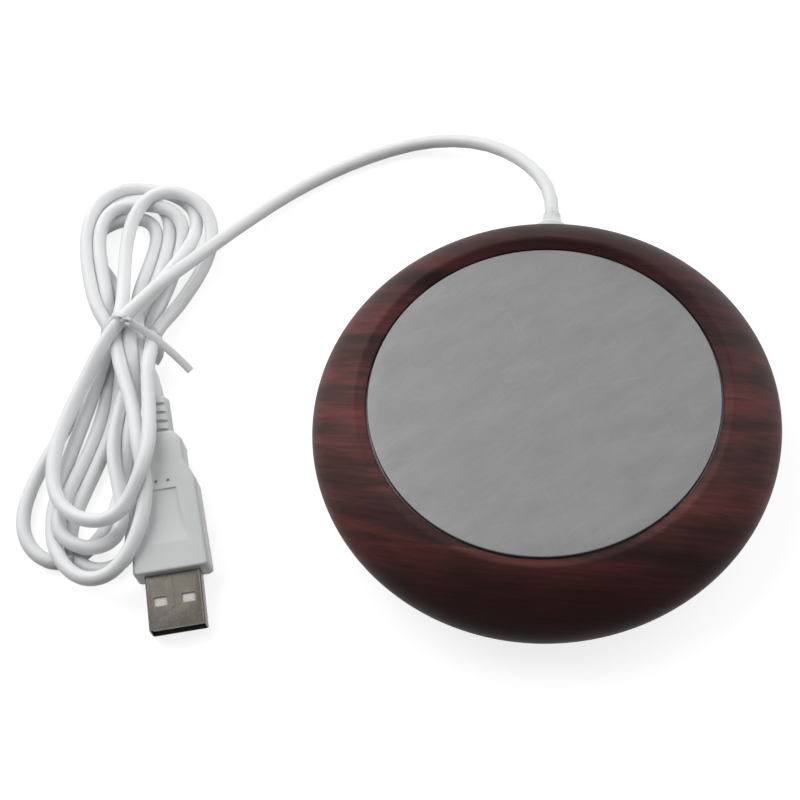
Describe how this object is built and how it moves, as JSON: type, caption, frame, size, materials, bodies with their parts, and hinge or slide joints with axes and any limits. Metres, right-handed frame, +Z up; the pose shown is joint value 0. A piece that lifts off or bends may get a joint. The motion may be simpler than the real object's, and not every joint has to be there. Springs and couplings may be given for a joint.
{
  "type": "mug warmer",
  "caption": "Round cushion-shaped mug warmer with a wood-grain rim and a near-flush metal heating plate; its captive USB lead lies folded and tied beside it.",
  "frame": {"origin": "on the table under the centre of the round body", "axes": "+Z up, out of the heating plate; +Y from the centre towards where the lead leaves the housing; the lead and the plug lie on the -X side"},
  "size_m": [0.165, 0.1329, 0.0225],
  "materials": {
    "housing": "dark reddish-brown wood-grain print on satin plastic",
    "base": "dark brown satin plastic",
    "foot": "matt black",
    "plate": "fine brushed and lightly scratched",
    "film": "amber film",
    "track": "etched foil",
    "insulation": "felted fibre",
    "retainer": "black moulded plastic",
    "screw": "zinc-plated",
    "cutoff": "plain case",
    "sleeve": "shrink tube",
    "core_red": "insulated core",
    "core_black": "insulated core",
    "clamp": "moulded plastic",
    "cord": "white soft cable jacket",
    "plug": "white moulded plastic",
    "tie": "white plastic-coated wire",
    "shell": "nickel-plated steel sheet",
    "insulator": "white moulded plastic",
    "contact": "gold-flashed"
  },
  "bodies": {
    "root": {"upper_housing": "housing", "base_cover": "base", "foot_front": "foot", "foot_back": "foot", "foot_left": "foot", "foot_right": "foot", "heating_plate": "plate", "heater_film": "film", "heater_track": "track", "insulation_ring": "insulation", "retainer_ring": "retainer", "retainer_screws": "screw", "thermal_cutoff": "cutoff", "joint_sleeves": "sleeve", "lead_red": "core_red", "lead_black": "core_black", "lead_link": "core_black", "cord_clamp": "clamp", "clamp_screws": "screw", "housing_screws": "screw", "cord_inner": "cord", "strain_relief": "plug", "cord_lead": "cord", "cord_hank": "cord", "cable_tie": "tie", "plug_body": "plug", "usb_shell": "shell", "usb_insulator": "insulator", "usb_contacts": "contact"}
  },
  "joints": []
}
